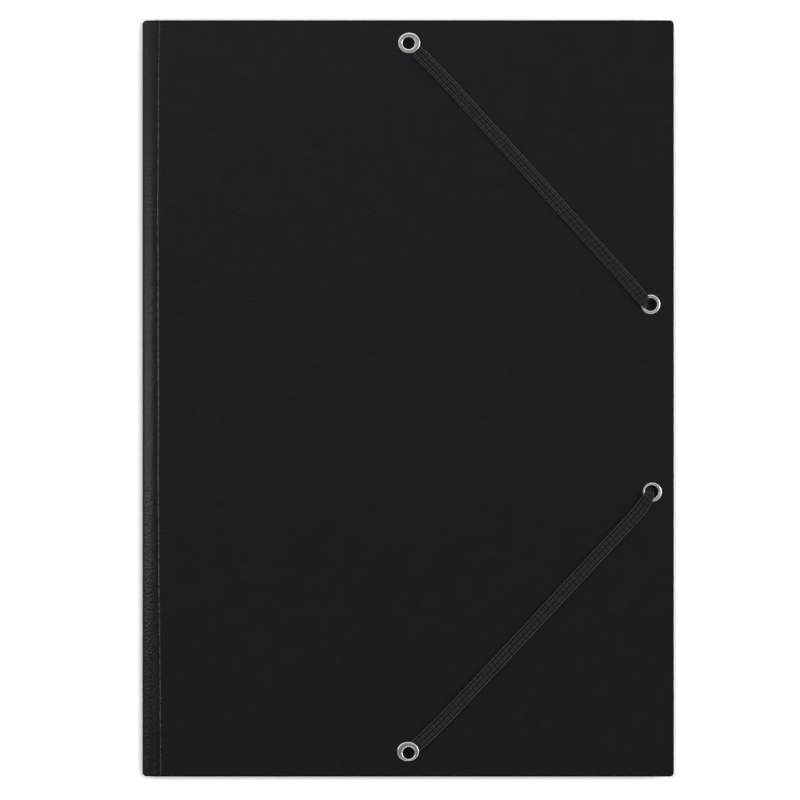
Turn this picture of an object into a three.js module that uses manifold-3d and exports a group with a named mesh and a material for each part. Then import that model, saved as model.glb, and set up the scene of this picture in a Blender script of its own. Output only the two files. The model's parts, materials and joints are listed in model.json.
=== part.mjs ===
// A flap folder of black glossy board, lying closed on its back cover.
// Millimetres. X runs from the spine (-X) to the fore-edge (+X), Y from the foot to the head,
// Z up, with the origin under the middle of the folder. The front cover is on top.
import * as THREE from "three";
import { mergeVertices } from "three/addons/utils/BufferGeometryUtils.js";
import Module from "manifold-3d";

const wasm = await Module();
wasm.setup();

// Board
const WIDTH = 225; // spine fold to fore-edge
const HEIGHT = 320; // foot to head
const BOARD = 0.5; // thickness
const CORNER_RADIUS = 2;
const COVER_OVERHANG = 1.5; // the front cover reaches this far past the folds of the flaps
const LAYER_GAP = 0.4; // air between two layers of board

// Spine
const STRIP_WIDTH = 6.9; // spine fold to the middle of the score beside it
const SCORE_WIDTH = 1.4;
const SCORE_DEPTH = 0.22;
const FOLD_CUT = 0.8; // the front strip ends this far from the fold line

// Flaps
const END_FLAP_DEPTH = 95; // of the head and foot flaps
const END_FLAP_SPINE_GAP = 10; // from the spine fold to their near side
const END_FLAP_FORE_GAP = 8; // from the fore-edge to their far side
const SIDE_FLAP_DEPTH = 120;
const SIDE_FLAP_END_GAP = 10; // from the head and the foot to its ends
const FLAP_TAPER = 8; // how far each flap narrows at each end of its free edge
const FLAP_CORNER_RADIUS = 9;

// Eyelets
const BORE_RADIUS = 2.6;
const BARREL_WALL = 0.3;
const HOLE_CLEARANCE = 0.3; // between a barrel and the board around it
const FLANGE_RADIUS = 4.8;
const ROLL_RADIUS = 4.15;
const RIM_HEIGHT = 0.5; // of the flange and of the rolled rim
const END_EYELET_X = 0.3;
const END_EYELET_INSET = 10.1; // from the head or the foot to the eyelet's middle
const SIDE_EYELET_INSET = 9.6; // from the fore-edge to the eyelet's middle
const SIDE_EYELET_Y = 39.65;
const FLANGE_TILT = 0.65; // how much higher a flange stands over the end of the elastic

// Elastic
const ELASTIC_WIDTH = 5.6;
const ELASTIC_THICKNESS = 0.9;
const SQUEEZED = 0.73; // share of its thickness where it passes a rim inside the cover
const SEAT_GAP = 0.1; // between a thing and the surface that it lies on
const ELASTIC_CLEARANCE = 0.35; // between the elastic's inner run and the flap under it

// Heights that follow from the stack of layers
const BACK_MID = BOARD / 2;
const END_FLAP_MID = BACK_MID + BOARD + LAYER_GAP;
const SIDE_FLAP_MID = END_FLAP_MID + BOARD + LAYER_GAP;
const INNER_RUN_THICKNESS = ELASTIC_THICKNESS * SQUEEZED;
const COVER_UNDERSIDE =
  SIDE_FLAP_MID + BOARD / 2 + ELASTIC_CLEARANCE + INNER_RUN_THICKNESS + RIM_HEIGHT + 2 * SEAT_GAP;
const COVER_MID = COVER_UNDERSIDE + BOARD / 2;
const COVER_TOP = COVER_UNDERSIDE + BOARD;

// Places that follow
const SPINE_X = -WIDTH / 2;
const FORE_X = WIDTH / 2;
const HEAD_Y = HEIGHT / 2;
const FOLD_X = SPINE_X + BOARD / 2;
const FOLD_Z = (COVER_MID + BACK_MID) / 2; // the fold line, where the two covers turn
const SCORE_START_X = SPINE_X + STRIP_WIDTH - SCORE_WIDTH / 2;
const BARREL_RADIUS = BORE_RADIUS + BARREL_WALL;
const HOLE_RADIUS = BARREL_RADIUS + HOLE_CLEARANCE;
const END_EYELET_Y = HEAD_Y - END_EYELET_INSET;
const SIDE_EYELET_X = FORE_X - SIDE_EYELET_INSET;

const board = new THREE.MeshStandardMaterial({ color: 0x141414, roughness: 0.35, metalness: 0 });
const nickel = new THREE.MeshStandardMaterial({ color: 0xc9c7c2, roughness: 0.2, metalness: 1 });
const webbing = new THREE.MeshStandardMaterial({ color: 0x1b1b1b, roughness: 0.85, metalness: 0 });

// Solids

/** A closed geometry as a solid that can be joined and cut. */
function solid(geometry) {
  geometry.deleteAttribute("normal");
  geometry.deleteAttribute("uv");
  const merged = mergeVertices(geometry, 1e-4);
  return new wasm.Manifold(
    new wasm.Mesh({
      numProp: 3,
      vertProperties: merged.attributes.position.array,
      triVerts: new Uint32Array(merged.index.array),
    }),
  );
}

/** A solid as a named mesh. */
function piece(name, body, material) {
  const { vertProperties, triVerts } = body.getMesh();
  const geometry = new THREE.BufferGeometry();
  geometry.setAttribute("position", new THREE.BufferAttribute(vertProperties, 3));
  geometry.setIndex(new THREE.BufferAttribute(triVerts, 1));
  geometry.computeVertexNormals();
  const mesh = new THREE.Mesh(geometry, material);
  mesh.name = name;
  return mesh;
}

/** An outline in the XY plane, pulled up from one height to another. */
function prism(shape, bottom, top) {
  const geometry = new THREE.ExtrudeGeometry(shape, {
    depth: top - bottom,
    bevelEnabled: false,
    curveSegments: 8,
  });
  return solid(geometry.translate(0, 0, bottom));
}

/** A section of (x, z) points, pulled along Y over a length about the middle. */
function alongY(section, length) {
  const geometry = new THREE.ExtrudeGeometry(new THREE.Shape(section), {
    depth: length,
    bevelEnabled: false,
  });
  geometry.rotateX(Math.PI / 2).translate(0, length / 2, 0);
  return solid(geometry);
}

/** A section of (y, z) points, pulled along X from one place to another. */
function alongX(section, from, to) {
  const geometry = new THREE.ExtrudeGeometry(new THREE.Shape(section), {
    depth: to - from,
    bevelEnabled: false,
  });
  const turn = new THREE.Matrix4().makeBasis(
    new THREE.Vector3(0, 1, 0),
    new THREE.Vector3(0, 0, 1),
    new THREE.Vector3(1, 0, 0),
  );
  return solid(geometry.applyMatrix4(turn).translate(from, 0, 0));
}

/**
 * The section of a board whose middle runs through the given points, each with the direction of
 * the middle there. Its first end is round if asked.
 */
function boardSection(middle, roundStart = false) {
  const half = BOARD / 2;
  const offset = (side) =>
    middle.map(({ at, along }) => {
      const across = new THREE.Vector2(-along.y, along.x).setLength(half * side);
      return across.add(at);
    });
  const cap = [];
  for (let i = 1; roundStart && i < 8; i++) {
    const angle = middle[0].along.angle() + Math.PI / 2 + (Math.PI * i) / 8;
    cap.push(new THREE.Vector2(half * Math.cos(angle), half * Math.sin(angle)).add(middle[0].at));
  }
  return [...offset(-1), ...offset(1).reverse(), ...cap];
}

/** A closed outline through the given corners, each rounded by its own radius. */
function roundedOutline(corners) {
  const shape = new THREE.Shape();
  corners.forEach(({ x, y, radius }, i) => {
    const corner = new THREE.Vector2(x, y);
    const before = corners[(i + corners.length - 1) % corners.length];
    const after = corners[(i + 1) % corners.length];
    const back = new THREE.Vector2(before.x - x, before.y - y).setLength(radius).add(corner);
    const on = new THREE.Vector2(after.x - x, after.y - y).setLength(radius).add(corner);
    if (i) shape.lineTo(back.x, back.y);
    else shape.moveTo(back.x, back.y);
    if (radius > 0) shape.quadraticCurveTo(x, y, on.x, on.y);
  });
  shape.closePath();
  return shape;
}

/** A rectangle with the board's round corners, reaching from the spine to the given fore-edge. */
function coverOutline(foreX, halfHeight) {
  return roundedOutline([
    { x: SPINE_X, y: -halfHeight, radius: CORNER_RADIUS },
    { x: foreX, y: -halfHeight, radius: CORNER_RADIUS },
    { x: foreX, y: halfHeight, radius: CORNER_RADIUS },
    { x: SPINE_X, y: halfHeight, radius: CORNER_RADIUS },
  ]);
}

// Covers

/**
 * The middle of a cover's board in section, from near the spine fold to the given fore-edge:
 * the bowed strip, the score beside it and the flat. side is 1 on the front and -1 on the back.
 */
function coverMiddle(side, startsAt, foreX) {
  const rise = COVER_MID - FOLD_Z;
  const span = SCORE_START_X - FOLD_X;
  const points = [];
  const add = (x, z, dx, dz) =>
    points.push({
      at: new THREE.Vector2(x, FOLD_Z + side * z),
      along: new THREE.Vector2(dx, side * dz),
    });
  const start = startsAt / Math.hypot(span, 2 * rise);
  for (let i = 0; i <= 10; i++) {
    const t = start + ((1 - start) * i) / 10;
    add(FOLD_X + t * span, rise * (1 - (1 - t) ** 2), span, 2 * rise * (1 - t));
  }
  for (let i = 1; i <= 10; i++) {
    const turn = (2 * Math.PI * i) / 10;
    const dip = (SCORE_DEPTH * (1 - Math.cos(turn))) / 2;
    const slope = i < 10 ? Math.PI * SCORE_DEPTH * Math.sin(turn) : 0;
    add(SCORE_START_X + (SCORE_WIDTH * i) / 10, rise - dip, SCORE_WIDTH, -slope);
  }
  add(foreX, rise, 1, 0);
  return points;
}

/** The round hole that an eyelet sits in, through the front cover. */
function eyeletHole({ x, y }) {
  const shape = new THREE.Shape().absarc(x, y, HOLE_RADIUS, 0, 2 * Math.PI);
  return prism(shape, COVER_UNDERSIDE - 1, COVER_TOP + 1);
}

/** The front cover: one flat board with the bowed strip of the spine along one side. */
function frontCover(eyelets) {
  const section = boardSection(coverMiddle(1, FOLD_CUT, FORE_X));
  let body = alongY(section, HEIGHT).intersect(
    prism(coverOutline(FORE_X, HEAD_Y), 0, COVER_TOP + 1),
  );
  for (const eyelet of eyelets) body = body.subtract(eyeletHole(eyelet));
  return body;
}

/** The middle of a fold that runs out flat, turns over and comes back one flap deep. */
function foldMiddle(from, edge, flapMid, depth) {
  const radius = (flapMid - BACK_MID) / 2;
  const bend = edge - BOARD / 2 - radius;
  const points = [];
  const add = (x, z, dx, dz) =>
    points.push({ at: new THREE.Vector2(x, z), along: new THREE.Vector2(dx, dz) });
  add(from, BACK_MID, 1, 0);
  add(bend, BACK_MID, 1, 0);
  for (let i = 1; i < 12; i++) {
    const turn = (Math.PI * i) / 12;
    const z = BACK_MID + radius * (1 - Math.cos(turn));
    add(bend + radius * Math.sin(turn), z, Math.cos(turn), Math.sin(turn));
  }
  add(bend, flapMid, -1, 0);
  add(edge - depth, flapMid, -1, 0);
  return points;
}

/** The flap folded in from the head (side 1) or the foot (side -1), with its fold. */
function endFlap(side) {
  const near = SPINE_X + END_FLAP_SPINE_GAP;
  const far = FORE_X - END_FLAP_FORE_GAP;
  const edge = HEAD_Y - COVER_OVERHANG;
  const free = edge - END_FLAP_DEPTH;
  const middle = foldMiddle(edge - 10, edge, END_FLAP_MID, END_FLAP_DEPTH);
  const section = boardSection(middle).map(({ x, y }) => new THREE.Vector2(side * x, y));
  const outline = roundedOutline([
    { x: near, y: side * (edge + 1), radius: 0 },
    { x: near + FLAP_TAPER, y: side * free, radius: FLAP_CORNER_RADIUS },
    { x: far - FLAP_TAPER, y: side * free, radius: FLAP_CORNER_RADIUS },
    { x: far, y: side * (edge + 1), radius: 0 },
  ]);
  return alongX(section, near, far).intersect(prism(outline, -1, COVER_UNDERSIDE));
}

/** The flap folded in from the fore-edge, over the other two. */
function sideFlap() {
  const half = HEAD_Y - SIDE_FLAP_END_GAP;
  const edge = FORE_X - COVER_OVERHANG;
  const free = edge - SIDE_FLAP_DEPTH;
  const middle = foldMiddle(edge - 10, edge, SIDE_FLAP_MID, SIDE_FLAP_DEPTH);
  const outline = roundedOutline([
    { x: edge + 1, y: -half, radius: 0 },
    { x: edge + 1, y: half, radius: 0 },
    { x: free, y: half - FLAP_TAPER, radius: FLAP_CORNER_RADIUS },
    { x: free, y: -half + FLAP_TAPER, radius: FLAP_CORNER_RADIUS },
  ]);
  return alongY(boardSection(middle), 2 * half).intersect(prism(outline, -1, COVER_UNDERSIDE));
}

/** The back cover with its strip of the spine and its three flaps, folded from one sheet. */
function backCover() {
  const foreX = FORE_X - COVER_OVERHANG - BOARD / 2 - (SIDE_FLAP_MID - BACK_MID) / 2;
  const endY = HEAD_Y - COVER_OVERHANG - BOARD / 2 - (END_FLAP_MID - BACK_MID) / 2;
  const plate = alongY(boardSection(coverMiddle(-1, 0, foreX), true), HEIGHT);
  const strip = coverOutline(SPINE_X + END_FLAP_SPINE_GAP, HEAD_Y);
  const flat = coverOutline(foreX, endY);
  const outline = prism(strip, -1, COVER_TOP).add(prism(flat, -1, COVER_TOP));
  return plate.intersect(outline).add(endFlap(1)).add(endFlap(-1)).add(sideFlap());
}

// Eyelets

/** Half of a flat ring's section, bulging from one face: from its outer edge in to the bore. */
function rimArc(radius, face, way) {
  const points = [];
  const middle = (radius + BORE_RADIUS) / 2;
  for (let i = 0; i <= 8; i++) {
    const angle = (Math.PI * i) / 8;
    points.push(
      new THREE.Vector2(
        middle + (radius - middle) * Math.cos(angle),
        face + way * RIM_HEIGHT * Math.sin(angle),
      ),
    );
  }
  return points;
}

/**
 * An eyelet set in the front cover, with the flange or the rolled rim outward. Where the end of
 * the elastic lies under its flange, the flange stands higher on the side that the end comes from.
 */
function eyeletBody({ x, y, flangeOut, pull }) {
  const outer = flangeOut ? FLANGE_RADIUS : ROLL_RADIUS;
  const inner = flangeOut ? ROLL_RADIUS : FLANGE_RADIUS;
  const above = SEAT_GAP;
  const below = -BOARD - SEAT_GAP;
  const profile = [
    new THREE.Vector2(BARREL_RADIUS, below),
    new THREE.Vector2(BARREL_RADIUS, above),
    ...rimArc(outer, above, 1),
    ...rimArc(inner, below, -1).reverse(),
    new THREE.Vector2(BARREL_RADIUS, below),
  ];
  const geometry = new THREE.LatheGeometry(profile, 40).rotateX(Math.PI / 2);
  const places = geometry.attributes.position;
  for (let i = 0; pull && i < places.count; i++) {
    if (places.getZ(i) < above - 1e-3) continue;
    const along = places.getX(i) * pull.x + places.getY(i) * pull.y;
    const lift = (FLANGE_TILT * (FLANGE_RADIUS + along)) / (2 * FLANGE_RADIUS);
    places.setZ(i, places.getZ(i) + lift);
  }
  return solid(geometry.translate(x, y, COVER_TOP));
}

// Elastic

/**
 * The middle of the elastic from one clamped end to the inside of the cover, as stations with a
 * place, a direction across, a width and a thickness. side is 1 in the upper half and -1 in the
 * lower one. drift is how far the run lies off the line between its two eyelets, outwards.
 */
function halfElastic(side, endEyelet, sideEyelet, drift) {
  const line = new THREE.Vector2(sideEyelet.x - endEyelet.x, sideEyelet.y - endEyelet.y);
  const length = line.length();
  const along = line.normalize();
  const outward = new THREE.Vector2(-along.y * side, along.x * side);
  const onBoard = SEAT_GAP + ELASTIC_THICKNESS / 2;
  const overRim = 2 * SEAT_GAP + RIM_HEIGHT + ELASTIC_THICKNESS / 2;
  const underRim = -BOARD - 2 * SEAT_GAP - RIM_HEIGHT - INNER_RUN_THICKNESS / 2;
  const hidden = BARREL_RADIUS + 0.4;
  const bore = BORE_RADIUS;
  const W = ELASTIC_WIDTH;
  const T = ELASTIC_THICKNESS;
  const I = INNER_RUN_THICKNESS;
  // Each row: distance from the clamped end's eyelet, height of the middle over the cover's face,
  // thickness and width.
  const outside = [
    [hidden, SEAT_GAP + 0.22 * T, 0.44 * T, 0.96 * W],
    [FLANGE_RADIUS, SEAT_GAP + 0.29 * T, 0.58 * T, W],
    [FLANGE_RADIUS + 1, SEAT_GAP + 0.42 * T, 0.84 * T, W],
    [FLANGE_RADIUS + 2.4, onBoard, T, W],
    ...[0.15, 0.3, 0.45, 0.6, 0.75, 0.88].map((share) => [length * share, onBoard, T, W]),
    [length - ROLL_RADIUS - 5, onBoard, T, W],
    [length - ROLL_RADIUS - 2.4, onBoard + 0.2 * RIM_HEIGHT, T, W],
    [length - ROLL_RADIUS - 0.5, onBoard + 0.9 * RIM_HEIGHT, T, 0.97 * W],
    [length - ROLL_RADIUS + 0.75, overRim, T, 0.92 * W],
    [length - 0.9 * bore, overRim - 0.12 * RIM_HEIGHT, T, 0.8 * W],
    [length - 0.66 * bore, overRim - 0.6 * RIM_HEIGHT, T, 0.72 * W],
    [length - 0.46 * bore, overRim - 1.3 * RIM_HEIGHT, T, 0.7 * W],
  ];
  // Each row: distance past the side eyelet towards the middle of the fore-edge, and the same
  // three values.
  const inside = [
    [0.46 * bore, underRim + 1.05 * RIM_HEIGHT, I, 0.7 * W],
    [0.66 * bore, underRim + 0.5 * RIM_HEIGHT, I, 0.72 * W],
    [0.9 * bore, underRim + 0.05 * RIM_HEIGHT, I, 0.76 * W],
    [FLANGE_RADIUS - 1, underRim, I, 0.86 * W],
    [FLANGE_RADIUS + 1, underRim, I, 0.95 * W],
    [FLANGE_RADIUS + 4, underRim, I, W],
    [sideEyelet.y * side, underRim, I, W],
  ];
  const stations = outside.map(([distance, height, thickness, width]) => {
    const share = distance / length;
    const off = drift(share) * (share > 0.97 ? (1 - share) / 0.03 : 1);
    const place = new THREE.Vector3(
      endEyelet.x + along.x * distance + outward.x * off,
      endEyelet.y + along.y * distance + outward.y * off,
      COVER_TOP + height,
    );
    return { place, across: new THREE.Vector3(outward.x, outward.y, 0), width, thickness };
  });
  for (const [distance, height, thickness, width] of inside) {
    const place = new THREE.Vector3(
      sideEyelet.x,
      sideEyelet.y - side * distance,
      COVER_TOP + height,
    );
    stations.push({ place, across: new THREE.Vector3(1, 0, 0), width, thickness });
  }
  return stations;
}

/** A flat band with rounded edges through the given stations. */
function band(stations) {
  const SIDES = 12;
  const positions = [];
  stations.forEach(({ place, across, width, thickness }, i) => {
    const before = stations[Math.max(i - 1, 0)].place;
    const after = stations[Math.min(i + 1, stations.length - 1)].place;
    const along = after.clone().sub(before).normalize();
    const side = across.clone().addScaledVector(along, -across.dot(along)).normalize();
    const up = along.clone().cross(side).normalize();
    for (let k = 0; k < SIDES; k++) {
      const angle = (2 * Math.PI * (k + 0.5)) / SIDES;
      const s = (Math.sign(Math.cos(angle)) * Math.abs(Math.cos(angle)) ** 0.35 * width) / 2;
      const u = (Math.sign(Math.sin(angle)) * Math.abs(Math.sin(angle)) ** 0.7 * thickness) / 2;
      positions.push(...place.clone().addScaledVector(side, s).addScaledVector(up, u).toArray());
    }
  });
  const triangles = [];
  for (let i = 0; i + 1 < stations.length; i++) {
    for (let k = 0; k < SIDES; k++) {
      const a = i * SIDES + k;
      const b = i * SIDES + ((k + 1) % SIDES);
      triangles.push(a, b, b + SIDES, a, b + SIDES, a + SIDES);
    }
  }
  const last = (stations.length - 1) * SIDES;
  for (let k = 1; k + 1 < SIDES; k++) {
    triangles.push(0, k + 1, k, last, last + k, last + k + 1);
  }
  const geometry = new THREE.BufferGeometry();
  geometry.setAttribute("position", new THREE.Float32BufferAttribute(positions, 3));
  geometry.setIndex(triangles);
  return solid(geometry);
}

/** The one elastic: from the top eyelet, in and out through the side eyelets, to the bottom one. */
function elasticBand({ top, bottom, upperRight, lowerRight }) {
  const upper = halfElastic(1, top, upperRight, (share) => 0.95 - 1.65 * share ** 1.5);
  const lower = halfElastic(-1, bottom, lowerRight, (share) => 1.25 + 0.45 * Math.sqrt(share));
  upper.pop();
  const back = lower.reverse().slice(1);
  const middle = {
    place: new THREE.Vector3(SIDE_EYELET_X, 0, upper[upper.length - 1].place.z),
    across: new THREE.Vector3(1, 0, 0),
    width: ELASTIC_WIDTH,
    thickness: INNER_RUN_THICKNESS,
  };
  return band([...upper, middle, ...back]);
}

// The folder

const eyelets = {
  top: { x: END_EYELET_X, y: END_EYELET_Y, flangeOut: true },
  bottom: { x: END_EYELET_X, y: -END_EYELET_Y, flangeOut: true },
  upperRight: { x: SIDE_EYELET_X, y: SIDE_EYELET_Y, flangeOut: false },
  lowerRight: { x: SIDE_EYELET_X, y: -SIDE_EYELET_Y, flangeOut: false },
};
for (const [from, to] of [["top", "upperRight"], ["bottom", "lowerRight"]]) {
  const { x, y } = eyelets[to];
  eyelets[from].pull = new THREE.Vector2(x - eyelets[from].x, y - eyelets[from].y).normalize();
}

const folder = new THREE.Group();
folder.name = "elastic_folder";

const cover = new THREE.Group();
cover.add(piece("front_cover", frontCover(Object.values(eyelets)), board));
cover.add(piece("top_eyelet", eyeletBody(eyelets.top), nickel));
cover.add(piece("bottom_eyelet", eyeletBody(eyelets.bottom), nickel));
cover.add(piece("upper_right_eyelet", eyeletBody(eyelets.upperRight), nickel));
cover.add(piece("lower_right_eyelet", eyeletBody(eyelets.lowerRight), nickel));
cover.add(piece("elastic_band", elasticBand(eyelets), webbing));

folder.add(piece("back_cover_with_flaps", backCover(), board));
folder.add(cover);

export default folder;
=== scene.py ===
"""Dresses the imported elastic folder: its board, spine fold, eyelets and elastic, in a plain studio.

Lengths are metres, and the frame is the part's own: X from the spine to the fore-edge, Y from the
foot to the head, Z up out of the front cover.
"""

import json
import logging
import math
from dataclasses import dataclass, field
from enum import Enum
from typing import Iterable, Iterator, Sequence

import bmesh
import bpy
import numpy as np
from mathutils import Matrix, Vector


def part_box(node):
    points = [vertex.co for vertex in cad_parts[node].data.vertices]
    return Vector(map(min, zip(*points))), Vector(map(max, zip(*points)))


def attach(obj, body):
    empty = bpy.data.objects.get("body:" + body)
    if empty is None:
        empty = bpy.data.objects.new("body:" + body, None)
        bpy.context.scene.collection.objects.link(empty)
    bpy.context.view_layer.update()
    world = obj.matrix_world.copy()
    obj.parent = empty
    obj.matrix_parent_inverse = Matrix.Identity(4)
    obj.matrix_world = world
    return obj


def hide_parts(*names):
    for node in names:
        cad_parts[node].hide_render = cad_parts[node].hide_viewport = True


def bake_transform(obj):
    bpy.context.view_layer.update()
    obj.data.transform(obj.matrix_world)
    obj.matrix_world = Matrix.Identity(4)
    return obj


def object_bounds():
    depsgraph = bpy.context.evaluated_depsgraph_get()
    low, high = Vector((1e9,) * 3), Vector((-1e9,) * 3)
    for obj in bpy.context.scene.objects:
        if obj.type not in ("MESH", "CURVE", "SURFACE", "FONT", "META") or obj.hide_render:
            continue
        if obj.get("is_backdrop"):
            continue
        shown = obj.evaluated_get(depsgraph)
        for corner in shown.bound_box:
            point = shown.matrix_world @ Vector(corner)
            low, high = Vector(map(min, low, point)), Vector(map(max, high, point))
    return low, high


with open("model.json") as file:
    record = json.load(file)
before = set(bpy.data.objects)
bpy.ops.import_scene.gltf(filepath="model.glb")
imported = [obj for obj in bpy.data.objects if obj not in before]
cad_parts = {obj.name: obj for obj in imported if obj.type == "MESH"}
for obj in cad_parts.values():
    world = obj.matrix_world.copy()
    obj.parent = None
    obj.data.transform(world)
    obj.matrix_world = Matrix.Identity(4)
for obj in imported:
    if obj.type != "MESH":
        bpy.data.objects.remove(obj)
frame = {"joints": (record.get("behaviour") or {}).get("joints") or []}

CAD_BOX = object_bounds()
LOG = logging.getLogger("elastic_folder")
MM = 0.001

Point = tuple[float, float]
Band = tuple[float, float]
Colour = tuple[float, float, float]
Feeds = dict[str | int, object]
NodeTree = bpy.types.NodeTree
Node = bpy.types.Node
Socket = bpy.types.NodeSocket
Material = bpy.types.Material
Object = bpy.types.Object


class Face(Enum):
    """Which way an eyelet is set in the cover."""

    FLANGE_OUT = "flange_out"
    ROLL_OUT = "roll_out"


class Side(Enum):
    """The upper and the lower half of the folder, as the sign of Y."""

    UPPER = 1
    LOWER = -1


def clamp(value: float) -> float:
    """Keeps a value between 0 and 1."""
    return min(1.0, max(0.0, value))


# Shader building


@dataclass
class Shader:
    """Adds and links the nodes of one tree."""

    tree: NodeTree

    def add(self, kind: str, feeds: Feeds | None = None, **settings: object) -> Node:
        """Adds a node.

        Args:
            kind: The node's type name.
            feeds: A socket or a plain value for each input, by its name or index.
            settings: Properties of the node, by name.

        Returns:
            The new node.
        """
        node = self.tree.nodes.new(kind)
        for name, value in settings.items():
            setattr(node, name, value)
        self.wire(node, feeds or {})
        return node

    def wire(self, node: Node, feeds: Feeds) -> None:
        """Links or sets inputs of a node.

        Args:
            node: The node.
            feeds: A socket or a plain value for each input, by its name or index.
        """
        for key, value in feeds.items():
            if isinstance(value, Socket):
                self.tree.links.new(value, node.inputs[key])
            else:
                node.inputs[key].default_value = value

    def math(self, operation: str, *values: object, clamp: bool = False) -> Socket:
        """Adds a Math node.

        Args:
            operation: The node's operation.
            values: One or two sockets or numbers.
            clamp: Whether the result is kept between 0 and 1.

        Returns:
            The result.
        """
        feeds = dict(enumerate(values))
        return self.add("ShaderNodeMath", feeds, operation=operation, use_clamp=clamp).outputs[0]

    def noise(
        self, vector: object, scale: object, detail: float = 2.0, roughness: float = 0.5
    ) -> Socket:
        """Adds a noise.

        Args:
            vector: The coordinates.
            scale: Cells per metre.
            detail: Octaves.
            roughness: Strength of the finer octaves.

        Returns:
            The noise, from 0 to 1.
        """
        feeds = {"Vector": vector, "Scale": scale, "Detail": detail, "Roughness": roughness}
        return self.add("ShaderNodeTexNoise", feeds).outputs[0]

    def ramp(
        self, value: object, low: float, high: float, to_low: object = 0.0, to_high: object = 1.0
    ) -> Socket:
        """Maps a range of values smoothly onto another one.

        Args:
            value: The value.
            low: Start of the range.
            high: End of the range.
            to_low: Result at the start.
            to_high: Result at the end.

        Returns:
            The mapped value, kept inside the new range.
        """
        feeds = dict(enumerate((value, low, high, to_low, to_high)))
        return self.add("ShaderNodeMapRange", feeds, interpolation_type="SMOOTHSTEP").outputs[0]

    def blend(self, share: object, first: object, second: object) -> Socket:
        """Mixes two colours.

        Args:
            share: Share of the second colour.
            first: A colour or a socket.
            second: A colour or a socket.

        Returns:
            The mixed colour.
        """
        feeds = {0: share, 6: first, 7: second}
        return self.add("ShaderNodeMix", feeds, data_type="RGBA").outputs[2]

    def bump(self, height: Socket, depth: float) -> Socket:
        """A surface normal from a height and the depth that it stands for."""
        return self.add("ShaderNodeBump", {"Height": height, "Distance": depth}).outputs[0]

    def split(self, vector: Socket) -> list[Socket]:
        """The X, Y and Z of a vector."""
        return list(self.add("ShaderNodeSeparateXYZ", {0: vector}).outputs)

    def place(self) -> Socket:
        """The Object coordinates."""
        return self.add("ShaderNodeTexCoord").outputs["Object"]


def rgba(colour: Colour, gain: float = 1.0) -> tuple[float, ...]:
    """A colour with its alpha, made lighter or darker."""
    return (*(channel * gain for channel in colour), 1.0)


def new_group(name: str, inputs: dict[str, tuple[str, object]], outputs: dict[str, str]) -> tuple:
    """Starts a shader node group.

    Args:
        name: The group's name.
        inputs: Socket type and default by input name.
        outputs: Socket type by output name.

    Returns:
        The group, its helper, its input sockets' node and its output node.
    """
    group = bpy.data.node_groups.new(name, "ShaderNodeTree")
    for label, (kind, default) in inputs.items():
        socket = group.interface.new_socket(label, in_out="INPUT", socket_type=kind)
        if default is not None:
            socket.default_value = default
    for label, kind in outputs.items():
        group.interface.new_socket(label, in_out="OUTPUT", socket_type=kind)
    shader = Shader(group)
    return group, shader, shader.add("NodeGroupInput"), shader.add("NodeGroupOutput")


class Effects:
    """The shader groups that finishes use."""

    FINE_RATIO = 4.1
    PATCH_SCALE = 14.0
    PATCH_BAND = (0.5, 0.72)
    PATCH_WEIGHT = 0.6
    SCUFF_TURN = math.radians(32)
    SCUFF_STRETCH = (900.0, 22.0, 1.0)
    SCUFF_BAND = (0.66, 0.74)
    BREAK_SCALE = 31.0

    def __init__(self) -> None:
        """Builds the groups once."""
        self.orange_peel = self._orange_peel()
        self.handling = self._handling()

    def _orange_peel(self) -> NodeTree:
        """Builds the rolling surface of thick varnish, as a height.

        Returns:
            The group.
        """
        inputs = {
            "Vector": ("NodeSocketVector", None),
            "Cell": ("NodeSocketFloat", 450.0),
            "Fine": ("NodeSocketFloat", 0.25),
        }
        group, shader, given, result = new_group(
            "orange_peel", inputs, {"Height": "NodeSocketFloat"}
        )
        vector, cell, fine = (given.outputs[name] for name in inputs)
        broad = shader.noise(vector, cell, 1.0)
        grain = shader.noise(vector, shader.math("MULTIPLY", cell, self.FINE_RATIO))
        share = shader.math("MULTIPLY", grain, fine)
        shader.wire(result, {"Height": shader.math("ADD", broad, share)})
        return group

    def _handling(self) -> NodeTree:
        """Builds the faint rubbed patches and hairline scuffs from handling, as a mask.

        Returns:
            The group.
        """
        inputs = {"Vector": ("NodeSocketVector", None), "Amount": ("NodeSocketFloat", 1.0)}
        group, shader, given, result = new_group("handling", inputs, {"Mask": "NodeSocketFloat"})
        vector, amount = (given.outputs[name] for name in inputs)
        patches = shader.ramp(shader.noise(vector, self.PATCH_SCALE, 4.0, 0.6), *self.PATCH_BAND)
        feeds = {
            "Vector": vector,
            "Rotation": (0.0, 0.0, self.SCUFF_TURN),
            "Scale": self.SCUFF_STRETCH,
        }
        stretched = shader.add("ShaderNodeMapping", feeds).outputs[0]
        lines = shader.ramp(shader.noise(stretched, 1.0, 3.0, 0.6), *self.SCUFF_BAND)
        scuffs = shader.math("MULTIPLY", lines, shader.noise(vector, self.BREAK_SCALE))
        rubbed = shader.math("MULTIPLY", patches, self.PATCH_WEIGHT)
        both = shader.math("ADD", rubbed, scuffs, clamp=True)
        shader.wire(result, {"Mask": shader.math("MULTIPLY", both, amount)})
        return group


def bare_material(name: str) -> tuple[Material, Shader, Node]:
    """Starts a material that has only its output node.

    Args:
        name: The material's name.

    Returns:
        The material, its helper and its output node.
    """
    material = bpy.data.materials.new(name)
    material.use_nodes = True
    material.node_tree.nodes.clear()
    shader = Shader(material.node_tree)
    return material, shader, shader.add("ShaderNodeOutputMaterial")


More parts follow.
